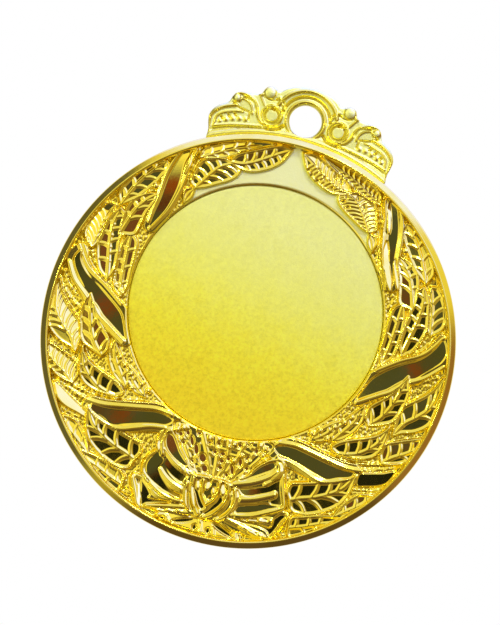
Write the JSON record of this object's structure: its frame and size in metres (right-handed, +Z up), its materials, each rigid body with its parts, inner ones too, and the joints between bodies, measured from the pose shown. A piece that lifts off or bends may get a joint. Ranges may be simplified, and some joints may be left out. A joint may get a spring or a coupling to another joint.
{
  "type": "hanging medal",
  "caption": "Round gilt award medal with a laurel wreath and ribbon bow in relief, a scroll-work hanger with an eyelet, and a blank frosted centre disc.",
  "frame": {"origin": "centre of the hanging eyelet, in the plane between the hanger's front and back", "axes": "+Z up, from the disc's centre to the eyelet; the face looks along -Y and the back along +Y; +X to the viewer's right when the face is looked at"},
  "size_m": [0.06, 0.0034, 0.0676],
  "materials": {
    "gilt_casting": "gold plated, polished relief with dark mirror-bright cells over a satin ground",
    "gilt_hanger": "gold plated, polished scroll work with darker hollows",
    "frosted_gilt": "gold plated, fine frosted satin",
    "clear_adhesive": "cured clear adhesive"
  },
  "bodies": {
    "root": {"medal_body": "gilt_casting", "scroll_hanger": "gilt_hanger", "centre_disc": "frosted_gilt", "adhesive_film": "clear_adhesive"}
  },
  "joints": []
}
